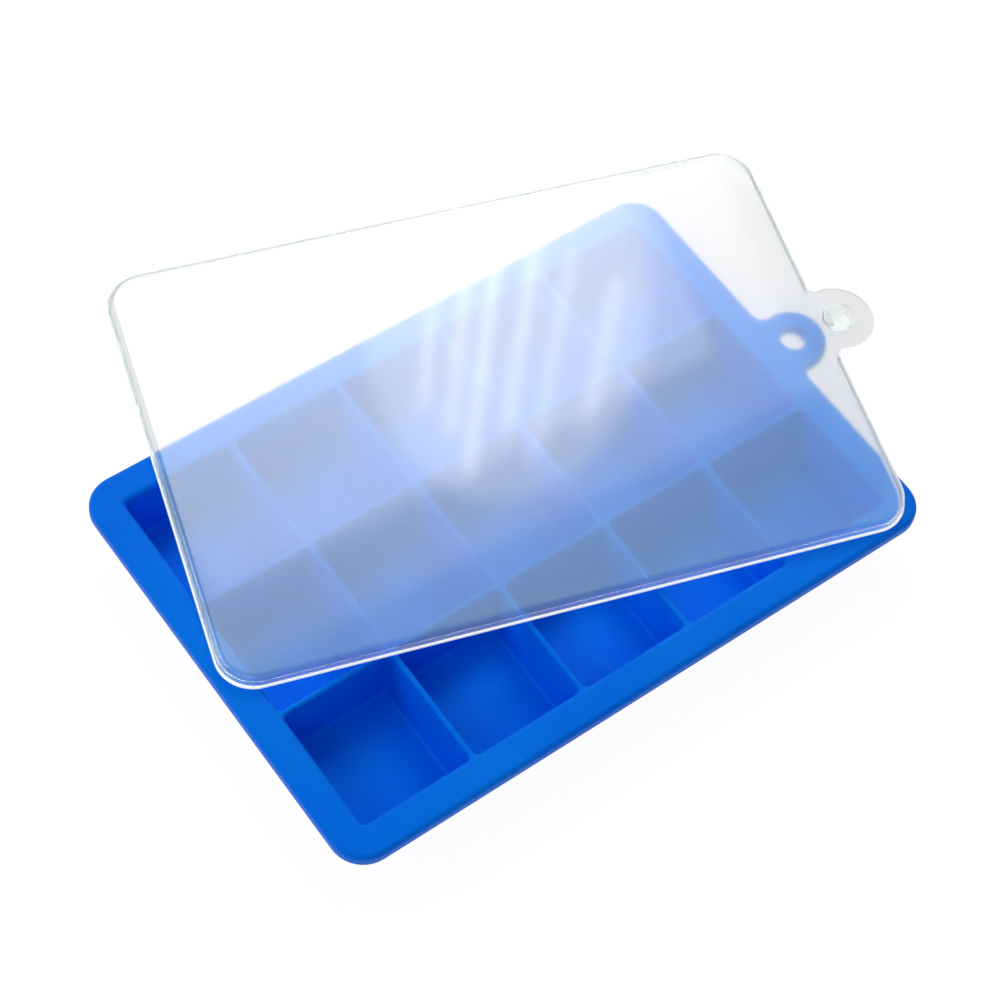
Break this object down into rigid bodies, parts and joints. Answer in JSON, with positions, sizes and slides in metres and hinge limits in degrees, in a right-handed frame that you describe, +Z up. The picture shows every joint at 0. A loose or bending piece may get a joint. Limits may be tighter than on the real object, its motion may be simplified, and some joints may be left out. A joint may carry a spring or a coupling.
{
  "type": "silicone ice cube tray with lid",
  "caption": "Flexible silicone tray of square-cornered ice cube cells with a flat rim and a hanging tab, and a thin translucent lid lying askew on it.",
  "frame": {"origin": "middle of the tray's underside, where it rests on a table or a freezer shelf", "axes": "+Z up, +X along the tray towards the short side with the hanging tab, +Y across the tray"},
  "size_m": [0.2266, 0.1858, 0.0266],
  "materials": {
    "blue_silicone": "satin silicone rubber",
    "translucent_plastic": "translucent, softly polished"
  },
  "bodies": {
    "root": {"tray": "blue_silicone", "lid": "translucent_plastic"}
  },
  "joints": []
}
